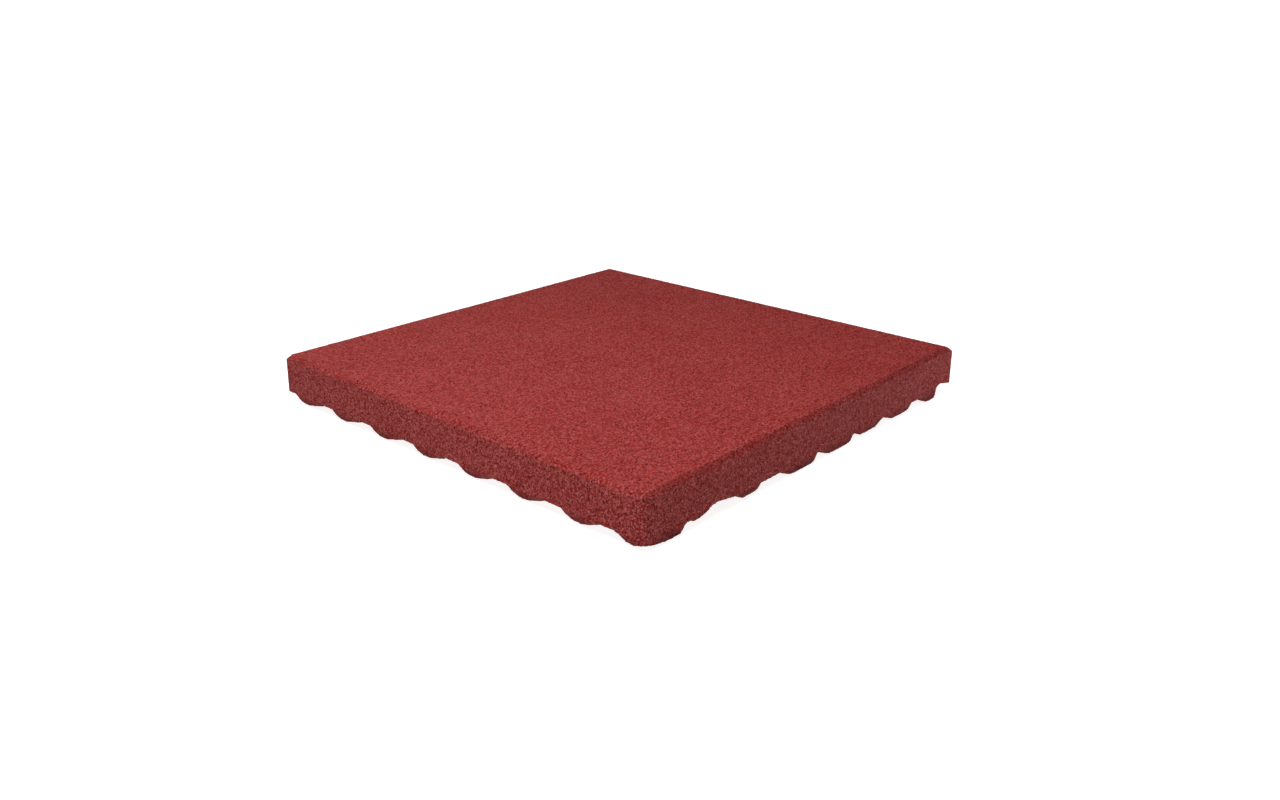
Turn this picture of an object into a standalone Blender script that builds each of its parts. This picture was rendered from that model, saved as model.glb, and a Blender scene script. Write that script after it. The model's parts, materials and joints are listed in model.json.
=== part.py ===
# Rubber floor tile: one moulded piece of bonded rubber crumb, flat on top with a bevelled
# rim, upright at the sides, and carried on rows of low round studs.
# Metres, +Z up. The origin is the middle of the footprint, on the floor.
# The corner at -X -Y is called the front corner, and the stud rows are counted from it.

import math

import bmesh
import bpy
import numpy as np

# Driving dimensions
SIDE = 0.500             # each side of the square
THICKNESS = 0.050        # floor to top
RIM_BEVEL = 0.005        # 45 degree bevel round the top
STUD_HEIGHT = 0.0085     # floor to the valleys between the studs
STUD_RADIUS = 0.0241
STUD_PITCH = 0.0655      # from one row or column of studs to the next
FIRST_COLUMN = 0.0145    # middle of the first column of studs, in from the -X side
FIRST_ROW = 0.0085       # middle of the first row of studs, in from the -Y side
STUD_SHOULDER = 3.4      # power of the flank's curve: higher is squarer
FOOT_SHARE = 0.60        # share of a stud's radius that is flat and rests on the floor

# The front row lies along the -Y side, where the humps are uneven. Each hump has its centre
# from the front corner, its reach towards that corner and away from it, its height, and the
# power of its flank on the far side.
FRONT_ROW = (
    (0.031, 0.070, 0.020, 0.0073, 6.0),
    (0.067, 0.012, 0.018, 0.0024, 2.5),
    (0.138, 0.021, 0.016, 0.0051, 2.5),
    (0.222, 0.040, 0.021, 0.0076, 8.0),
    (0.284, 0.039, 0.022, 0.0074, 6.0),
    (0.331, 0.024, 0.028, 0.0053, 2.3),
    (0.398, 0.035, 0.021, 0.0062, 3.0),
    (0.461, 0.021, 0.010, 0.0085, 8.0),
)
FRONT_ROW_END = FIRST_ROW + 0.5 * STUD_PITCH    # the valley behind the front row

# Two notches in the -Y side, where the valley runs up: centre, half width, rise
NOTCHES = ((0.092, 0.029, 0.0039), (0.477, 0.012, 0.0048))
NOTCH_REACH = 0.030      # how far in from the side a notch dies out

# Crumbled lower edge: the studs lose height towards the -X side and at the front corner
EDGE_REACH = 0.015
EDGE_LOSS = 0.18
CORNER_LOSS = 0.72
CORNER_REACH_X = 0.014
CORNER_REACH_Y = 0.006

# The underside's grid
RIM_POINTS = 16          # grid lines pass through this many points of each stud's rim
HUMP_SHARES = (1.0, 0.9, 0.75, 0.55)     # lines across a front hump, as shares of its reach
MIN_STEP = 0.0015        # two grid lines are never closer than this
FLAT_ANGLE = math.radians(0.2)

RUBBER_COLOUR = (0.219, 0.041, 0.037, 1.0)
RUBBER_ROUGHNESS = 0.9


def clear_scene():
    for old in list(bpy.data.objects):
        bpy.data.objects.remove(old, do_unlink=True)


def rubber_material():
    material = bpy.data.materials.new("red_rubber")
    material.use_nodes = True
    shader = material.node_tree.nodes["Principled BSDF"]
    shader.inputs["Base Color"].default_value = RUBBER_COLOUR
    shader.inputs["Roughness"].default_value = RUBBER_ROUGHNESS
    shader.inputs["Metallic"].default_value = 0.0
    return material


def dome(share, power):
    # height of a stud, 1 on its flat foot and 0 at its rim, share being the part of the radius
    foot_drop = FOOT_SHARE ** power
    return min(1.0, max(0.0, (1.0 - min(share, 1.0) ** power) / (1.0 - foot_drop)))


def fade(distance, reach):
    # 1 at the middle, falling smoothly to 0 at the reach
    return math.cos(0.5 * math.pi * min(1.0, abs(distance) / reach)) ** 2


def regular_stud(x, y):
    # height of the round stud nearest to a point
    from_column = (x - FIRST_COLUMN + 0.5 * STUD_PITCH) % STUD_PITCH - 0.5 * STUD_PITCH
    from_row = (y - FIRST_ROW + 0.5 * STUD_PITCH) % STUD_PITCH - 0.5 * STUD_PITCH
    share = math.hypot(from_column, from_row) / STUD_RADIUS
    return STUD_HEIGHT * dome(share, STUD_SHOULDER)


def front_row_stud(x, y):
    # height of the highest hump of the front row at a point
    heights = []
    for centre, reach_near, reach_far, height, power in FRONT_ROW:
        near = x < centre
        share = math.hypot((x - centre) / (reach_near if near else reach_far),
                           (y - FIRST_ROW) / STUD_RADIUS)
        heights.append(height * dome(share, STUD_SHOULDER if near else power))
    return max(heights)


def underside_height(x, y):
    # height of the underside above the floor, x and y being measured from the front corner
    stud = front_row_stud(x, y) if y < FRONT_ROW_END else regular_stud(x, y)
    stud *= 1.0 - EDGE_LOSS * max(0.0, 1.0 - x / EDGE_REACH) ** 2
    stud *= 1.0 - CORNER_LOSS * math.exp(-(x / CORNER_REACH_X) ** 2 - (y / CORNER_REACH_Y) ** 2)
    notch = sum(rise * fade(x - centre, half_width) * fade(y, NOTCH_REACH)
                for centre, half_width, rise in NOTCHES)
    return STUD_HEIGHT - stud + notch


def spaced(wanted):
    # sorted grid lines inside the tile, without those that crowd an earlier one
    kept = []
    for line in wanted:
        clear_of_sides = MIN_STEP < line < SIDE - MIN_STEP
        if clear_of_sides and all(abs(line - other) >= MIN_STEP for other in kept):
            kept.append(line)
    return sorted(kept)


def stud_lines(first):
    # lines through the rim points of every stud, the first of which is this far in
    centres = np.arange(first, SIDE + STUD_PITCH, STUD_PITCH)
    angles = [math.pi * (2 * step + 1) / RIM_POINTS for step in range(RIM_POINTS // 2)]
    offsets = [STUD_RADIUS * math.cos(angle) for angle in angles]
    return [centre + offset for centre in centres for offset in offsets]


def front_row_lines():
    # lines across the front row's humps, at their rims, flanks and middles
    wanted = [EDGE_REACH]
    for centre, reach_near, reach_far, height, power in FRONT_ROW:
        wanted += [centre + share * reach_far for share in HUMP_SHARES]
        wanted += [centre - share * reach_near for share in HUMP_SHARES]
        wanted.append(centre)
    wanted += [centre for centre, half_width, rise in NOTCHES]
    return spaced(wanted)


def cut_grid(shape, lines, axis, low, high):
    # cuts the faces that lie between two heights of y along straight lines across one axis
    normal = (1.0, 0.0, 0.0) if axis == 0 else (0.0, 1.0, 0.0)
    for line in lines:
        faces = [face for face in shape.faces if low < face.calc_center_median().y < high]
        edges = dict.fromkeys(edge for face in faces for edge in face.edges)
        corners = dict.fromkeys(vertex for face in faces for vertex in face.verts)
        bmesh.ops.bisect_plane(shape, geom=[*corners, *edges, *faces],
                               plane_co=(line, line, 0.0), plane_no=normal)


def is_corner(vertex):
    middle = 0.5 * SIDE
    return min(abs(vertex.co.x - middle), abs(vertex.co.y - middle)) > middle - 0.5 * MIN_STEP


def tile_mesh():
    shape = bmesh.new()
    bmesh.ops.create_grid(shape, x_segments=1, y_segments=1, size=0.5 * SIDE)
    bmesh.ops.translate(shape, verts=shape.verts, vec=(0.5 * SIDE, 0.5 * SIDE, 0.0))
    rows = spaced([FRONT_ROW_END] + stud_lines(FIRST_ROW))
    columns = spaced([EDGE_REACH] + stud_lines(FIRST_COLUMN))
    cut_grid(shape, rows, axis=1, low=0.0, high=SIDE)
    cut_grid(shape, front_row_lines(), axis=0, low=0.0, high=FRONT_ROW_END)
    cut_grid(shape, columns, axis=0, low=FRONT_ROW_END, high=SIDE)

    # the square takes the form of the studs
    for vertex in shape.verts:
        vertex.co.z = underside_height(vertex.co.x, vertex.co.y)

    # the sides rise from its outline, and each becomes one flat face
    outline = [edge for edge in shape.edges if edge.is_boundary]
    raised = bmesh.ops.extrude_edge_only(shape, edges=outline)["geom"]
    for vertex in [item for item in raised if isinstance(item, bmesh.types.BMVert)]:
        vertex.co.z = THICKNESS
    top_edges = [edge for edge in shape.edges if edge.is_boundary]
    bmesh.ops.contextual_create(shape, geom=top_edges)
    uprights = [edge for edge in shape.edges
                if abs(edge.verts[0].co.z - edge.verts[1].co.z) > 0.5 * THICKNESS]
    between = [edge for edge in uprights if not is_corner(edge.verts[0])]
    bmesh.ops.dissolve_edges(shape, edges=between, use_verts=True)

    # bevelled rim
    rim = [edge for edge in shape.edges
           if min(vertex.co.z for vertex in edge.verts) > THICKNESS - 0.5 * RIM_BEVEL]
    bmesh.ops.bevel(shape, geom=rim, offset=RIM_BEVEL, offset_type="OFFSET", segments=1,
                    profile=0.5, affect="EDGES")

    # flat stretches of the underside are merged, so that only the studs keep their facets
    quads = [face for face in shape.faces if len(face.verts) == 4]
    bmesh.ops.triangulate(shape, faces=quads, quad_method="SHORT_EDGE")
    bmesh.ops.dissolve_limit(shape, angle_limit=FLAT_ANGLE, verts=shape.verts, edges=shape.edges)
    bmesh.ops.triangulate(shape, faces=shape.faces, quad_method="SHORT_EDGE", ngon_method="BEAUTY")
    bmesh.ops.translate(shape, verts=shape.verts, vec=(-0.5 * SIDE, -0.5 * SIDE, 0.0))
    bmesh.ops.recalc_face_normals(shape, faces=shape.faces)

    mesh = bpy.data.meshes.new("rubber_tile")
    shape.to_mesh(mesh)
    shape.free()
    return mesh


def build():
    clear_scene()
    mesh = tile_mesh()
    mesh.materials.append(rubber_material())
    tile = bpy.data.objects.new("rubber_tile", mesh)
    bpy.context.scene.collection.objects.link(tile)


build()
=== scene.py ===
import json
import math

import bpy
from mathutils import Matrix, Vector

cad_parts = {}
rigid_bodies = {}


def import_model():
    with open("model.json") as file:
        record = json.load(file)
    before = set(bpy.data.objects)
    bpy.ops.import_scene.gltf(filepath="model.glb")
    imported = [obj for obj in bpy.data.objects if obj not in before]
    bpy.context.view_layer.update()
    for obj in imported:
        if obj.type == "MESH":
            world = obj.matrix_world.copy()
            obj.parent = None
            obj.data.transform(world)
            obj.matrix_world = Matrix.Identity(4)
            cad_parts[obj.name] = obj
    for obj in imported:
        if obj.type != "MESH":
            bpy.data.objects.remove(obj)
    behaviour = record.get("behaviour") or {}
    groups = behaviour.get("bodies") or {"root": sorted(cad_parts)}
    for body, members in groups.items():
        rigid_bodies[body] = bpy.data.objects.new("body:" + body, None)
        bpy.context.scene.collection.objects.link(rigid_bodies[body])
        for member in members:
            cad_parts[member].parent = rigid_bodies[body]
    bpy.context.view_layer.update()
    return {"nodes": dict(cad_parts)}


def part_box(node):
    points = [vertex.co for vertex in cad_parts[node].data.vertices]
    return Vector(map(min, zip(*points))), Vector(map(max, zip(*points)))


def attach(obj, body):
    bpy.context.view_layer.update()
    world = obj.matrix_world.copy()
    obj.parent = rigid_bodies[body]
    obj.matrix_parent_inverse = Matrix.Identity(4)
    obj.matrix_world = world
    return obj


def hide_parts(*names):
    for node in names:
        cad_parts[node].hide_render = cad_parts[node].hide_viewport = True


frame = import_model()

print("frame loaded")


# Helpers for working as one does by hand

def selectOnly(*objs):
    if bpy.context.mode != "OBJECT":
        bpy.ops.object.mode_set(mode="OBJECT")
    bpy.ops.object.select_all(action="DESELECT")
    for obj in objs:
        obj.select_set(True)
    bpy.context.view_layer.objects.active = objs[-1]


def applyModifier(obj, kind, **settings):
    selectOnly(obj)
    modifier = obj.modifiers.new(kind.lower(), kind)
    for name, value in settings.items():
        setattr(modifier, name, value)
    bpy.ops.object.modifier_apply(modifier=modifier.name)


def selectParts(obj, mode, wanted):
    # edit mode with just the wanted faces or edges selected, by their place
    selectOnly(obj)
    mesh = obj.data
    for thing in (*mesh.vertices, *mesh.edges, *mesh.polygons):
        thing.select = False
    for thing in (mesh.polygons if mode == "FACE" else mesh.edges):
        thing.select = wanted(thing)
    bpy.ops.object.mode_set(mode="EDIT")
    bpy.ops.mesh.select_mode(type=mode)


def addNode(tree, kind, sockets=(), **settings):
    # a node with its settings; its inputs, by name or place, get values or other nodes' outputs
    node = tree.nodes.new(kind)
    for name, value in settings.items():
        setattr(node, name, value)
    for name, value in dict(sockets).items():
        if isinstance(name, int):
            socket = node.inputs[name]
        else:
            socket = next(s for s in node.inputs if s.enabled and s.name == name)
        if isinstance(value, bpy.types.NodeSocket):
            tree.links.new(value, socket)
        else:
            socket.default_value = value
    return node


def result(node, name=None):
    # the output of that name that is in use, or the first one
    return next(s for s in node.outputs if s.enabled and name in (None, s.name))


def newGroup(name, kind, inputs, outputs):
    # an empty node group with its named sockets, its input node's outputs and its output node
    group = bpy.data.node_groups.new(name, kind)
    for direction, sockets in (("INPUT", inputs), ("OUTPUT", outputs)):
        for socketName, socketKind in sockets.items():
            group.interface.new_socket(socketName, in_out=direction,
                                       socket_type="NodeSocket" + socketKind)
    return group, group.nodes.new("NodeGroupInput").outputs, group.nodes.new("NodeGroupOutput")


# Rubber, the shader groups that all its materials use

rubberLook = {
    "gloss": 0.10,               # specular level
    "middleTone": 0.5,           # a crumb of this tone has the plain dye
    "brightness": ((0.0, 0.42), (0.25, 0.80), (0.50, 1.0), (0.75, 1.16), (1.0, 1.38)),   # by tone
    "brightest": 2.0,            # the curve node ends at 1, so it holds shares of this
    "leastDye": 0.004,           # no channel of a dark crumb falls below this
    "footShadeBottom": 0.001,         # between these heights the dye gets darker towards the floor: painted shade
    "footShadeTop": 0.012,
    "patches": {"Scale": 16.0, "Detail": 4.0, "Roughness": 0.62},    # broad uneven patches of dye
    "tornSkin": {"Scale": 2600.0, "Detail": 3.0, "Roughness": 0.6},  # on a single crumb
}


def makeCrumbTintAndShade():
    # the dye, lighter and paler or darker and redder by a crumb's own tone and by broad patches
    # over the tile, and darker towards the floor as painted shade
    group, given, out = newGroup(
        "crumbTintAndShade", "ShaderNodeTree",
        {"Dye": "Color", "Tone": "Float", "Contrast": "Float", "Patches": "Float", "Pale": "Float",
         "FootShade": "Float"}, {"Color": "Color"})
    middle = rubberLook["middleTone"]
    place = addNode(group, "ShaderNodeTexCoord").outputs["Object"]

    broad = addNode(group, "ShaderNodeTexNoise", {"Vector": place, **rubberLook["patches"]})
    shift = addNode(group, "ShaderNodeMath", {0: result(broad), 1: middle}, operation="SUBTRACT")
    patch = addNode(group, "ShaderNodeMath", {0: result(shift), 1: given["Patches"], 2: middle},
                    operation="MULTIPLY_ADD")
    own = addNode(group, "ShaderNodeMath", {0: given["Tone"], 1: middle}, operation="SUBTRACT")
    tone = addNode(group, "ShaderNodeMath", {0: result(own), 1: given["Contrast"], 2: result(patch)},
                   operation="MULTIPLY_ADD")
    curve = addNode(group, "ShaderNodeFloatCurve", {"Value": result(tone)})
    points = curve.mapping.curves[0].points
    stops = [(spot, height / rubberLook["brightest"]) for spot, height in rubberLook["brightness"]]
    for stop in stops[1:-1]:
        points.new(*stop)
    points[0].location = stops[0]
    points[-1].location = stops[-1]
    curve.mapping.update()
    light = addNode(group, "ShaderNodeMath", {0: result(curve), 1: rubberLook["brightest"]},
                    operation="MULTIPLY")

    # what a crumb gains or loses: its dye, and in green and blue a share of its red besides
    over = addNode(group, "ShaderNodeMath", {0: result(light), 1: 1.0}, operation="SUBTRACT")
    parts = addNode(group, "ShaderNodeSeparateXYZ", {"Vector": given["Dye"]})
    share = addNode(group, "ShaderNodeMath", {0: result(parts, "X"), 1: given["Pale"]},
                    operation="MULTIPLY")
    pale = addNode(group, "ShaderNodeCombineXYZ", {"Y": result(share), "Z": result(share)})
    reach = addNode(group, "ShaderNodeVectorMath", {0: given["Dye"], 1: result(pale)},
                    operation="ADD")
    dyed = addNode(group, "ShaderNodeVectorMath",
                   {0: result(reach), 1: result(over), 2: given["Dye"]}, operation="MULTIPLY_ADD")
    kept = addNode(group, "ShaderNodeVectorMath", {0: result(dyed), 1: (rubberLook["leastDye"],) * 3},
                   operation="MAXIMUM")

    # painted shade: the dye darkens towards the floor
    height = addNode(group, "ShaderNodeSeparateXYZ", {"Vector": place})
    footShadeRamp = addNode(group, "ShaderNodeMapRange",
                   {"Value": result(height, "Z"), "From Min": rubberLook["footShadeBottom"],
                    "From Max": rubberLook["footShadeTop"], "To Min": given["FootShade"], "To Max": 1.0},
                   interpolation_type="SMOOTHSTEP")
    shaded = addNode(group, "ShaderNodeVectorMath", {0: result(kept), "Scale": result(footShadeRamp)},
                     operation="SCALE")
    group.links.new(result(shaded), out.inputs["Color"])
    return group


def makeCrumbSkin():
    # the torn surface of the rubber: a height for bump and an uneven roughness
    group, given, out = newGroup("crumbSkin", "ShaderNodeTree", {"Dull": "Float", "Spread": "Float"},
                                 {"Height": "Float", "Roughness": "Float"})
    place = addNode(group, "ShaderNodeTexCoord").outputs["Object"]
    torn = addNode(group, "ShaderNodeTexNoise", {"Vector": place, **rubberLook["tornSkin"]})
    shift = addNode(group, "ShaderNodeMath", {0: result(torn), 1: 0.5}, operation="SUBTRACT")
    rough = addNode(group, "ShaderNodeMath",
                    {0: result(shift), 1: given["Spread"], 2: given["Dull"]},
                    operation="MULTIPLY_ADD")
    group.links.new(result(torn), out.inputs["Height"])
    group.links.new(result(rough), out.inputs["Roughness"])
    return group


def startRubber(name, dye, tintValues, skinValues):
    # a material with both groups joined to its shader, and room for a bump
    material = bpy.data.materials.new(name)
    material.use_nodes = True
    tree = material.node_tree
    shader = tree.nodes["Principled BSDF"]
    shader.inputs["Specular IOR Level"].default_value = rubberLook["gloss"]
    colour = addNode(tree, "ShaderNodeGroup", node_tree=tint)
    colour.inputs["Dye"].default_value = (*dye, 1.0)
    for socketName, value in tintValues.items():
        colour.inputs[socketName].default_value = value
    surface = addNode(tree, "ShaderNodeGroup", node_tree=skin)
    for socketName, value in skinValues.items():
        surface.inputs[socketName].default_value = value
    tree.links.new(colour.outputs["Color"], shader.inputs["Base Color"])
    tree.links.new(surface.outputs["Roughness"], shader.inputs["Roughness"])
    return material, tree, shader, colour, surface


# Loose crumbs, at the surface. The foot shade value is the share of the dye that the painted shade
# leaves at the floor.
looseCrumb = {
    "kinds": {
        "topCrumb": ((0.2955, 0.0371, 0.0340), {"Contrast": 0.46, "Pale": 0.40, "FootShade": 1.0}),
        # painted sheen and shade: this dye is paler and a little darker than the top's on the same
        # rubber, and its low foot value darkens the sides' lower rim
        "shadedSideCrumb": ((0.278, 0.0492, 0.0448), {"Contrast": 0.68, "Pale": 0.30, "FootShade": 0.37}),
        # painted shade: the underside's dye is darker, for the shaded stud flanks under the tile
        "shadedUnderCrumb": ((0.175, 0.0305, 0.0275), {"Contrast": 0.68, "Pale": 0.30, "FootShade": 1.0}),
    },
    "patches": 0.17,
    "skin": {"Dull": 0.84, "Spread": 0.20},
    "bump": {"Strength": 0.6, "Distance": 0.00008},
}


def makeLooseCrumb(name, dye, own):
    # each crumb has one tone, which the scatter group gives it
    material, tree, shader, colour, surface = startRubber(
        name, dye, {"Patches": looseCrumb["patches"], **own}, looseCrumb["skin"])
    tone = addNode(tree, "ShaderNodeAttribute", attribute_name="crumbTone")
    tree.links.new(tone.outputs["Fac"], colour.inputs["Tone"])
    bump = addNode(tree, "ShaderNodeBump", {**looseCrumb["bump"], "Height": surface.outputs["Height"]})
    tree.links.new(result(bump), shader.inputs["Normal"])
    return material


# Bound crumbs, packed in the body under the loose ones
boundCrumb = {
    # painted shade: this dye is darker than the loose crumbs', for the gaps between them
    "dye": (0.175, 0.0210, 0.0192),
    "tint": {"Contrast": 1.0, "Pale": 0.32, "Patches": 0.20, "FootShade": 0.95},
    "skin": {"Dull": 0.90, "Spread": 0.15},
    "cellScale": 480.0,          # crumbs per metre
    "crest": {"From Min": 0.15, "From Max": 0.75, "To Min": 1.0, "To Max": 0.0},   # over a cell
    "pitShadeTone": 0.70,             # share of a crumb's tone where it meets the next: painted shade in the gap
    "tornShare": 0.15,           # the torn skin's share of the bump's height
    "bump": {"Strength": 0.8, "Distance": 0.0006},
}


def makeBoundCrumb():
    # cells of one tone each, darker where they meet: painted shade in the gaps between crumbs
    material, tree, shader, colour, surface = startRubber(
        "boundCrumb", boundCrumb["dye"], boundCrumb["tint"], boundCrumb["skin"])
    place = addNode(tree, "ShaderNodeTexCoord").outputs["Object"]
    cells = addNode(tree, "ShaderNodeTexVoronoi", {"Vector": place, "Scale": boundCrumb["cellScale"]})
    tones = addNode(tree, "ShaderNodeSeparateColor", {"Color": result(cells, "Color")})
    crest = addNode(tree, "ShaderNodeMapRange",
                    {"Value": result(cells, "Distance"), **boundCrumb["crest"]})
    shade = addNode(tree, "ShaderNodeMapRange",
                    {"Value": result(crest), "To Min": boundCrumb["pitShadeTone"], "To Max": 1.0})
    tone = addNode(tree, "ShaderNodeMath", {0: result(tones, "Red"), 1: result(shade)},
                   operation="MULTIPLY")
    tree.links.new(result(tone), colour.inputs["Tone"])
    grain = addNode(tree, "ShaderNodeMath",
                    {0: surface.outputs["Height"], 1: boundCrumb["tornShare"], 2: result(crest)},
                    operation="MULTIPLY_ADD")
    bump = addNode(tree, "ShaderNodeBump", {**boundCrumb["bump"], "Height": result(grain)})
    tree.links.new(result(bump), shader.inputs["Normal"])
    return material


tint, skin = makeCrumbTintAndShade(), makeCrumbSkin()
rubber = {name: makeLooseCrumb(name, *values) for name, values in looseCrumb["kinds"].items()}
boundRubber = makeBoundCrumb()
print("materials made")


# The tile's body: the moulded shape, drawn in a little under its crumbs

low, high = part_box("rubber_tile")

tileBody = {
    "mergeDistance": 0.00001,    # the CAD mesh is loose triangles, so its doubles are merged
    "cornerRound": 0.0018,       # the upright edges, worn round
    "frontRound": 0.0075,        # the same at the front corner
    "roundSteps": 6,
    "cornerMargin": 0.0001,      # an edge this close to a corner is an upright one
    "leastUpright": 0.01,        # and at least this long
    "gridDepth": 8,              # halvings of the remesher's grid
    "gridScale": 0.60,           # share of that grid that the tile spans: higher is finer
    "crumbCover": 0.0005,        # how far the crumbs stand over the body
    "lumpSize": 0.006,
    "lumpHeight": 0.00018,
}


def makeTileBody():
    # a copy of the CAD piece, its corners worn, meshed evenly and drawn in for the crumbs
    mesh = frame["nodes"]["rubber_tile"].data.copy()
    mesh.name = "tileBody"
    body = bpy.data.objects.new("tileBody", mesh)
    bpy.context.scene.collection.objects.link(body)

    def isUpright(edge, front):
        one, other = (mesh.vertices[i].co for i in edge.vertices)
        cornerStart = high[0] - tileBody["cornerMargin"]
        atCorner = all(min(abs(end.x), abs(end.y)) > cornerStart for end in (one, other))
        atFront = max(one.x, one.y) < 0.0
        return atCorner and atFront == front and abs(one.z - other.z) > tileBody["leastUpright"]

    selectOnly(body)
    bpy.ops.object.mode_set(mode="EDIT")
    bpy.ops.mesh.select_all(action="SELECT")
    bpy.ops.mesh.remove_doubles(threshold=tileBody["mergeDistance"])
    for front, width in ((False, tileBody["cornerRound"]), (True, tileBody["frontRound"])):
        selectParts(body, "EDGE", lambda edge: isUpright(edge, front))
        bpy.ops.mesh.bevel(offset=width, segments=tileBody["roundSteps"])
    bpy.ops.object.mode_set(mode="OBJECT")
    bpy.ops.object.duplicate()
    mould = bpy.context.object           # keeps the surface that the crumbs are pressed within

    applyModifier(body, "REMESH", mode="SHARP", octree_depth=tileBody["gridDepth"],
                  scale=tileBody["gridScale"])
    applyModifier(body, "DISPLACE", mid_level=0.0, strength=-tileBody["crumbCover"])
    lumps = bpy.data.textures.new("lumps", "CLOUDS")
    lumps.noise_scale = tileBody["lumpSize"]
    applyModifier(body, "DISPLACE", texture=lumps, strength=tileBody["lumpHeight"])
    bpy.ops.object.shade_smooth()
    body.data.materials.clear()
    body.data.materials.append(boundRubber)
    return body, mould


body, mould = makeTileBody()
print("body made:", len(body.data.polygons), "faces")


# Crumbs: a few angular shapes, scattered over the body's surface by one node group

crumbShapes = {
    "corners": (3, 4, 4, 5, 4),  # round each shape's waist, which has a radius of 1
    "peak": 0.9,                 # height over the waist, and depth under it
    "jitter": 0.25,
}


def makeCrumbShapes():
    # each is a cone whose base is drawn out to a second point, with its corners shaken
    shelf = bpy.data.collections.new("crumbShapes")
    bpy.context.scene.collection.children.link(shelf)
    for number, corners in enumerate(crumbShapes["corners"]):
        bpy.ops.mesh.primitive_cone_add(vertices=corners, radius1=1.0, radius2=0.0,
                                        depth=crumbShapes["peak"],
                                        location=(0.0, 0.0, 0.5 * crumbShapes["peak"]))
        crumb = bpy.context.object
        crumb.name = "crumbShape%d" % number
        bpy.ops.object.transform_apply(location=True, rotation=False, scale=False)
        selectParts(crumb, "FACE", lambda face: face.normal.z < -0.9)    # the base looks down
        bpy.ops.mesh.poke(offset=crumbShapes["peak"])
        bpy.ops.mesh.select_all(action="SELECT")
        bpy.ops.transform.vertex_random(offset=crumbShapes["jitter"], seed=number)
        bpy.ops.object.mode_set(mode="OBJECT")
        for holder in crumb.users_collection:
            holder.objects.unlink(crumb)
        shelf.objects.link(crumb)
    return shelf


scatterLook = {
    "stretch": {"Min": (0.75, 0.75, 0.8), "Max": (1.3, 1.3, 1.2)},   # of a crumb's size each way
    "toneSeed": 7,
}


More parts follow.
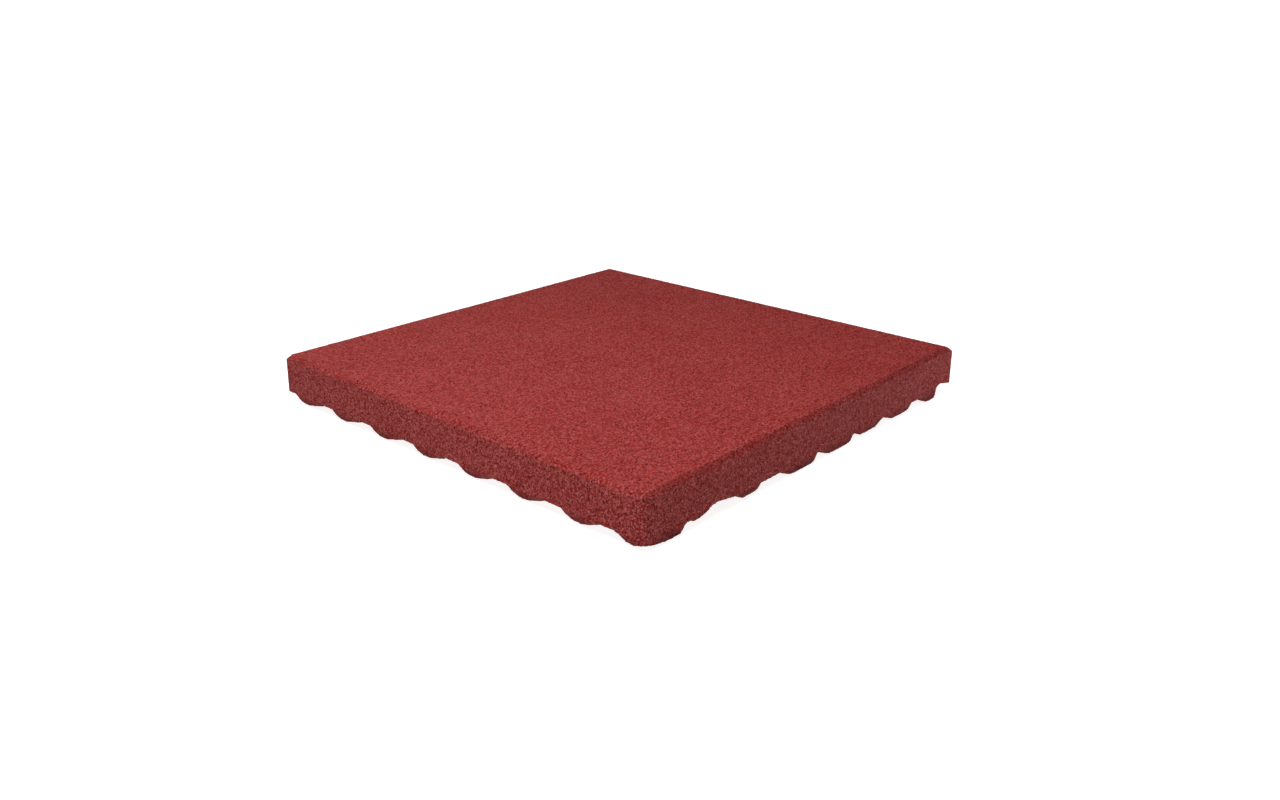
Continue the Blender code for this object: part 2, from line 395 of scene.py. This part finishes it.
def makeScatter():
    # points no closer than a spacing, a turned and scaled crumb at each, pressed within the mould
    group, given, out = newGroup(
        "scatterCrumbs", "GeometryNodeTree",
        {"Ground": "Geometry", "Shapes": "Collection", "Spacing": "Float", "Density": "Float",
         "Size": "Float", "Tilt": "Float", "Flatness": "Float", "Press": "Float", "Low": "Vector",
         "High": "Vector", "Mould": "Object", "Seed": "Int"}, {"Crumbs": "Geometry"})
    spread = addNode(group, "GeometryNodeDistributePointsOnFaces",
                     {"Mesh": given["Ground"], "Distance Min": given["Spacing"],
                      "Density Max": given["Density"], "Seed": given["Seed"]},
                     distribute_method="POISSON")
    shapes = addNode(group, "GeometryNodeCollectionInfo",
                     {"Collection": given["Shapes"], "Separate Children": True,
                      "Reset Children": True})
    down = addNode(group, "ShaderNodeMath", {0: given["Tilt"], 1: -1.0}, operation="MULTIPLY")
    least = addNode(group, "ShaderNodeCombineXYZ", {"X": result(down), "Y": result(down), "Z": 0.0})
    most = addNode(group, "ShaderNodeCombineXYZ",
                   {"X": given["Tilt"], "Y": given["Tilt"], "Z": math.tau})
    turn = addNode(group, "FunctionNodeRandomValue", {"Min": result(least), "Max": result(most),
                                                      "Seed": given["Seed"]}, data_type="FLOAT_VECTOR")
    turned = addNode(group, "FunctionNodeRotateRotation",
                     {"Rotation": result(spread, "Rotation"),
                      "Rotate By": result(addNode(group, "FunctionNodeEulerToRotation",
                                                  {"Euler": result(turn)}))}, rotation_space="LOCAL")
    stretch = addNode(group, "FunctionNodeRandomValue", scatterLook["stretch"],
                      data_type="FLOAT_VECTOR")
    flat = addNode(group, "ShaderNodeCombineXYZ", {"X": given["Size"], "Y": given["Size"]})
    thick = addNode(group, "ShaderNodeMath", {0: given["Size"], 1: given["Flatness"]},
                    operation="MULTIPLY")
    group.links.new(result(thick), flat.inputs["Z"])
    size = addNode(group, "ShaderNodeVectorMath", {0: result(stretch), 1: result(flat)},
                   operation="MULTIPLY")
    pick = addNode(group, "FunctionNodeRandomValue",
                   {"Min": 0, "Max": len(crumbShapes["corners"]) - 1}, data_type="INT")
    placed = addNode(group, "GeometryNodeInstanceOnPoints",
                     {"Points": result(spread), "Instance": result(shapes), "Pick Instance": True,
                      "Instance Index": result(pick), "Rotation": result(turned),
                      "Scale": result(size)})
    tone = addNode(group, "FunctionNodeRandomValue",
                   {"Min": 0.0, "Max": 1.0, "Seed": scatterLook["toneSeed"]}, data_type="FLOAT")
    toned = addNode(group, "GeometryNodeStoreNamedAttribute",
                    {"Geometry": result(placed), "Name": "crumbTone", "Value": result(tone)},
                    domain="INSTANCE", data_type="FLOAT")
    real = addNode(group, "GeometryNodeRealizeInstances", {"Geometry": result(toned)})

    # the mould presses back what would stand out of it, the darker crumbs a little deeper
    own = addNode(group, "GeometryNodeInputNamedAttribute", {"Name": "crumbTone"}, data_type="FLOAT")
    dark = addNode(group, "ShaderNodeMath", {0: 1.0, 1: result(own, "Attribute")},
                   operation="SUBTRACT")
    depth = addNode(group, "ShaderNodeMath", {0: result(dark), 1: given["Press"]},
                    operation="MULTIPLY")
    place = addNode(group, "GeometryNodeInputPosition")
    mould = addNode(group, "GeometryNodeObjectInfo", {"Object": given["Mould"]})
    wall = addNode(group, "GeometryNodeProximity", {"Geometry": result(mould, "Geometry")},
                   target_element="FACES")
    facing = addNode(group, "GeometryNodeSampleNearestSurface",
                     {"Mesh": result(mould, "Geometry"),
                      "Value": result(addNode(group, "GeometryNodeInputNormal"))},
                     data_type="FLOAT_VECTOR")
    gone = addNode(group, "ShaderNodeVectorMath", {0: result(place), 1: result(wall, "Position")},
                   operation="SUBTRACT")
    height = addNode(group, "ShaderNodeVectorMath", {0: result(gone), 1: result(facing)},
                     operation="DOT_PRODUCT")
    over = addNode(group, "ShaderNodeMath", {0: result(height, "Value"), 1: result(depth)},
                   operation="ADD")
    isOver = addNode(group, "FunctionNodeCompare", {"A": result(over), "B": 0.0},
                     operation="GREATER_THAN")
    inset = addNode(group, "ShaderNodeVectorMath", {0: result(facing), "Scale": result(depth)},
                    operation="SCALE")
    onWall = addNode(group, "ShaderNodeVectorMath", {0: result(wall, "Position"), 1: result(inset)},
                     operation="SUBTRACT")
    inside = addNode(group, "ShaderNodeVectorMath", {0: result(onWall), 1: given["High"]},
                     operation="MINIMUM")
    within = addNode(group, "ShaderNodeVectorMath", {0: result(inside), 1: given["Low"]},
                     operation="MAXIMUM")
    pressed = addNode(group, "GeometryNodeSetPosition",
                      {"Geometry": result(real), "Selection": result(isOver),
                       "Position": result(within)})
    group.links.new(result(pressed), out.inputs["Crumbs"])
    return group


# Spacing, size and press in metres, tilt in radians, and density in tries per square metre,
# most of which the spacing turns down. Size is half a crumb's width and flatness its share in height.
crumbLook = {
    "topCrumb": {"Spacing": 0.00165, "Density": 900000.0, "Size": 0.00132, "Tilt": 0.30,
                 "Flatness": 0.70, "Press": 0.0003},
    "shadedSideCrumb": {"Spacing": 0.0015, "Density": 900000.0, "Size": 0.00138, "Tilt": 0.5,
                  "Flatness": 0.75, "Press": 0.0004},
    "shadedUnderCrumb": {"Spacing": 0.0029, "Density": 300000.0, "Size": 0.0025, "Tilt": 0.5,
                   "Flatness": 0.55, "Press": 0.0003},
}


def scatterOver(name, wanted, kind, seed):
    # a patch of the body's skin is the ground, and the crumbs take its place
    selectOnly(body)
    bpy.ops.object.duplicate()
    patch = bpy.context.object
    patch.name = patch.data.name = name
    selectParts(patch, "FACE", lambda face: not wanted(face.center, face.normal))
    bpy.ops.mesh.delete(type="FACE")
    bpy.ops.object.mode_set(mode="OBJECT")
    modifier = patch.modifiers.new("crumbs", "NODES")
    modifier.node_group = scatter
    values = {"Shapes": shapes, "Low": tuple(low), "High": tuple(high), "Seed": seed, "Mould": mould,
              **crumbLook[kind]}
    for item in scatter.interface.items_tree:
        if item.in_out == "INPUT" and item.name in values:
            modifier[item.identifier] = values[item.name]
    patch.update_tag()
    bpy.ops.object.modifier_apply(modifier=modifier.name)
    patch.data.materials.clear()
    patch.data.materials.append(rubber[kind])
    print(name + ":", len(patch.data.polygons), "faces")
    return patch


crumbAreas = {
    "bevelBottom": high[2] - 0.0062,     # faces above this that look up are the top and its bevel
    "leastUp": 0.6,                      # of a face's normal, for it to look up
    "underTop": low[2] + 0.012,          # faces below this are the underside, but for the sides'
    "sideDepth": 0.0016,
}
third = (high[0] - low[0]) / 3
nearEnd, farStart = low[0] + third, high[0] - third


def isTop(middle, normal):
    return normal.z > crumbAreas["leastUp"] and middle.z > crumbAreas["bevelBottom"]


def isUnder(middle):
    atSide = max(abs(middle.x), abs(middle.y)) > high[0] - crumbAreas["sideDepth"]
    return middle.z < crumbAreas["underTop"] and not atSide


shapes = makeCrumbShapes()
scatter = makeScatter()
crumbs = [scatterOver(*job) for job in (
    ("crumbsTopLeft", lambda m, n: isTop(m, n) and m.x < nearEnd, "topCrumb", 11),
    ("crumbsTopMiddle", lambda m, n: isTop(m, n) and nearEnd <= m.x < farStart, "topCrumb", 12),
    ("crumbsTopRight", lambda m, n: isTop(m, n) and m.x >= farStart, "topCrumb", 13),
    ("crumbsSides", lambda m, n: not isTop(m, n) and not isUnder(m), "shadedSideCrumb", 14),
    ("crumbsUnder", lambda m, n: isUnder(m), "shadedUnderCrumb", 15),
)]
for helper in (mould, *shapes.objects):
    bpy.data.objects.remove(helper)
bpy.data.collections.remove(shapes)

for piece in (body, *crumbs):
    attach(piece, "root")
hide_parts("rubber_tile")
print("crumbs scattered")


# Stage: a plain pale floor that glows a little, soft studio lights and the camera

stage = {
    "floorSize": 80.0,
    "floorGap": 0.0003,          # the floor lies this far under the tile
    "floorColour": (0.34, 0.34, 0.34),
    "floorRoughness": 0.9,
    "floorGlow": 0.88,
    "sky": 0.05,                 # light from the sky, and its brightness as a backdrop
    "backdrop": 1.0,
    "sunDistance": 3.0,          # only for the place of its marker
    # name, direction that it comes from, strength, angle
    "suns": (("backLight", (0.0, 0.82, 0.57), 3.0, 40.0),
             ("frontFill", (-0.965, -0.05, 0.26), 0.31, 40.0)),
    # name, place, what it is aimed at, width, length, watts
    "lamps": (("overhead", (-0.344, -0.02, 0.80), (-0.344, -0.02, 0.0), 0.5, 1.0, 7.6),
              ("rightFill", (0.90, -0.68, 0.15), (0.2, -0.25, 0.03), 0.3, 0.3, 4.9),
              ("leftFill", (-0.80, -0.25, 0.25), (-0.25, -0.2, 0.03), 0.2, 0.2, 0.42)),
}


def makeFloor():
    bpy.ops.mesh.primitive_plane_add(size=stage["floorSize"],
                                     location=(0.0, 0.0, low[2] - stage["floorGap"]))
    floor = bpy.context.object
    floor.name = "floor"
    paint = bpy.data.materials.new("paleFloor")
    paint.use_nodes = True
    shader = paint.node_tree.nodes["Principled BSDF"]
    shader.inputs["Base Color"].default_value = (*stage["floorColour"], 1.0)
    shader.inputs["Roughness"].default_value = stage["floorRoughness"]
    shader.inputs["Specular IOR Level"].default_value = 0.0
    shader.inputs["Emission Color"].default_value = (1.0, 1.0, 1.0, 1.0)
    shader.inputs["Emission Strength"].default_value = stage["floorGlow"]
    floor.data.materials.append(paint)


def makeLights():
    # the world: dim as light, white where the camera looks past the floor
    world = bpy.data.worlds.new("studio")
    world.use_nodes = True
    tree = world.node_tree
    sky = tree.nodes["Background"]
    sky.inputs["Color"].default_value = (1.0, 1.0, 1.0, 1.0)
    sky.inputs["Strength"].default_value = stage["sky"]
    backdrop = addNode(tree, "ShaderNodeBackground",
                       {"Color": (1.0, 1.0, 1.0, 1.0), "Strength": stage["backdrop"]})
    ray = addNode(tree, "ShaderNodeLightPath")
    both = addNode(tree, "ShaderNodeMixShader",
                   {0: ray.outputs["Is Camera Ray"], 1: result(sky), 2: result(backdrop)})
    tree.links.new(result(both), tree.nodes["World Output"].inputs["Surface"])
    bpy.context.scene.world = world

    for name, (x, y, z), strength, angle in stage["suns"]:
        bpy.ops.object.light_add(type="SUN", location=Vector((x, y, z)) * stage["sunDistance"])
        sun = bpy.context.object
        sun.name = name
        sun.data.energy = strength
        sun.data.angle = math.radians(angle)
        sun.rotation_euler = (math.atan2(math.hypot(x, y), z), 0.0, math.atan2(y, x) + 0.5 * math.pi)

    for name, place, aim, width, length, watts in stage["lamps"]:
        bpy.ops.object.light_add(type="AREA", location=place)
        lamp = bpy.context.object
        lamp.name = name
        lamp.rotation_euler = (Vector(aim) - Vector(place)).to_track_quat("-Z", "Y").to_euler()
        lamp.data.shape = "RECTANGLE"
        lamp.data.size = width
        lamp.data.size_y = length
        lamp.data.energy = watts


# The photograph's view: lengths in its pixels but for the place, in metres, and the sensor, in mm
photoView = {
    "place": (-0.8429, -0.7580, 0.4283),
    "lookDown": 20.73,
    "turn": 47.09,
    "focal": 1130.8,
    "frameWidth": 1280.0,
    "frameMiddle": (640.0, 400.0),
    "middle": (605.0, 395.0),    # where the lens's axis meets the picture
    "sensor": 36.0,
}


def makeCamera():
    view = photoView
    bpy.ops.object.camera_add(location=view["place"])
    camera = bpy.context.object
    camera.rotation_euler = (math.radians(90.0 - view["lookDown"]), 0.0, math.radians(-view["turn"]))
    camera.data.sensor_width = view["sensor"]
    camera.data.lens = view["sensor"] * view["focal"] / view["frameWidth"]
    camera.data.shift_x = (view["frameMiddle"][0] - view["middle"][0]) / view["frameWidth"]
    camera.data.shift_y = (view["middle"][1] - view["frameMiddle"][1]) / view["frameWidth"]
    bpy.context.scene.camera = camera


makeFloor()
makeLights()
makeCamera()
bpy.context.scene.view_settings.view_transform = "Standard"
print("stage set")
